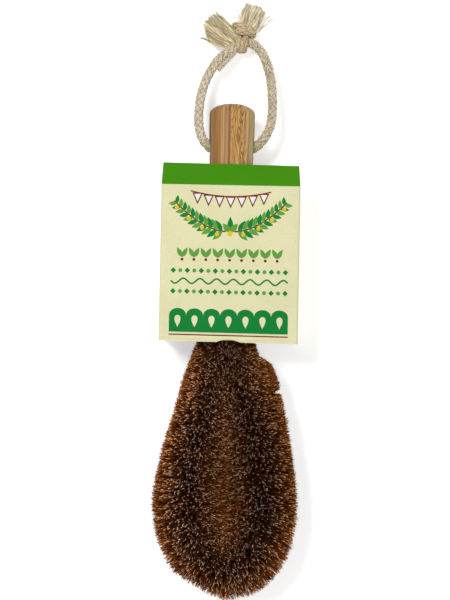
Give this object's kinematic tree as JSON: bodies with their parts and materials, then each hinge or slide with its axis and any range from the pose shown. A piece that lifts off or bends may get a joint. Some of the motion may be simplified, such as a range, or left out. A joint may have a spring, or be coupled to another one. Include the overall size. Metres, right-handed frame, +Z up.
{
  "type": "dish brush",
  "caption": "Dish brush: round wooden handle, coir bristles on a looped twisted wire, knotted hanging cord, and a folded card sleeve that slides off the handle.",
  "frame": {"origin": "on the surface the brush lies on, under the middle of its box without the hanging cord", "axes": "+Y along the handle towards the hanging end, +Z up from the surface, +X across to the right of the front"},
  "size_m": [0.071, 0.292, 0.0368],
  "materials": {
    "wood": "satin",
    "wire": "satin",
    "coir": "matte",
    "cotton": "matte",
    "card": "satin"
  },
  "bodies": {
    "brush": {"handle": "wood", "wire_strand_a": "wire", "wire_strand_b": "wire", "bristles_left": "coir", "bristles_tip": "coir", "bristles_right": "coir"},
    "cord": {"cord_loop": "cotton", "cord_knot": "cotton", "cord_tail_left": "cotton", "cord_tail_right": "cotton"},
    "sleeve": {"card_sleeve": "card"}
  },
  "joints": [
    {"name": "cord_swing", "type": "hinge", "parent": "brush", "child": "cord", "pos_m": [0, 0.09725, 0.0184], "axis": [1, 0, 0], "range_deg": [0, 115]},
    {"name": "sleeve_slide", "type": "slide", "parent": "brush", "child": "sleeve", "axis": [0, 1, 0], "range_m": [0, 0.17]}
  ]
}
